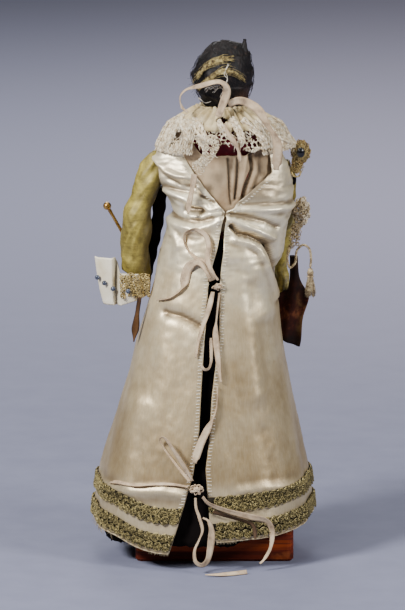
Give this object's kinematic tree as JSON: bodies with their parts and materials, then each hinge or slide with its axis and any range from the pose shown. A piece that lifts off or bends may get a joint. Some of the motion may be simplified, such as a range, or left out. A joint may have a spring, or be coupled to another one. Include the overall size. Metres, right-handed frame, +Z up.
{
  "type": "dressed wax statuette",
  "caption": "Small dressed wax figure on a wooden block, in a satin gown tied with ribbons at the back, with lace collar, silk sleeves, braid hem and a brass rod.",
  "frame": {"origin": "on the underside of the wooden block, at its centre", "axes": "+Z up, the figure faces -Y, its back is towards +Y and its left hand towards +X"},
  "size_m": [0.1812, 0.1775, 0.4188],
  "materials": {
    "mahogany": "worn varnish, grain along the length",
    "dark_cloth": "matt dark cloth",
    "red_cloth": "matt dark red cloth",
    "blouse_cloth": "soft ivory cloth",
    "satin": "aged ivory satin",
    "braid": "tarnished looped metal thread",
    "lace": "open cotton lace",
    "wax": "flesh-coloured wax",
    "hair": "dark wrapped hair",
    "straw": "frayed plant fibre",
    "olive_silk": "yellow-green silk",
    "cream_cloth": "cream cloth",
    "gold_lace": "gold thread lace",
    "bead": "small grey-blue beads",
    "brass": "polished",
    "brown_cloth": "brown braid strip",
    "brocade": "gold brocade",
    "black_stone": "black, polished",
    "velvet": "worn dark red-brown velvet",
    "ribbon": "narrow silk ribbon",
    "cord": "twisted gold cord"
  },
  "bodies": {
    "root": {"base": "mahogany", "under_skirt": "dark_cloth", "bodice": "red_cloth", "under_blouse": "blouse_cloth", "gown": "satin", "hem_braid_upper": "braid", "hem_braid_lower": "braid", "lace_collar": "lace", "lace_fall": "lace", "head": "wax", "hair": "hair", "straw_band_upper": "straw", "straw_band_lower": "straw", "sleeve_left": "olive_silk", "cuff_left": "cream_cloth", "cuff_lace_left": "gold_lace", "cuff_bead_1": "bead", "cuff_bead_2": "bead", "cuff_bead_3": "bead", "cuff_bead_4": "bead", "hand_left": "wax", "rod": "brass", "strip_left": "brown_cloth", "sleeve_right": "olive_silk", "hand_right": "wax", "shoulder_ornament": "brocade", "shoulder_stone": "black_stone", "lace_tuft_right": "lace", "velvet_cloth": "velvet", "tassel_cord": "cord", "tassel": "cord", "waist_knot": "ribbon", "hem_knot": "ribbon", "ribbon_nape": "ribbon", "ribbon_strap": "ribbon", "ribbon_shoulder": "ribbon", "ribbon_collar": "ribbon", "ribbon_waist_loop": "ribbon", "ribbon_waist_left": "ribbon", "ribbon_waist_low": "ribbon", "ribbon_waist_long": "ribbon", "ribbon_curl": "ribbon", "ribbon_slit": "ribbon", "ribbon_hem_loop": "ribbon", "ribbon_hem_right": "ribbon", "ribbon_hem_hanging": "ribbon", "ribbon_hem_left": "ribbon", "ribbon_hem_dark": "ribbon", "ribbon_floor": "ribbon"}
  },
  "joints": []
}
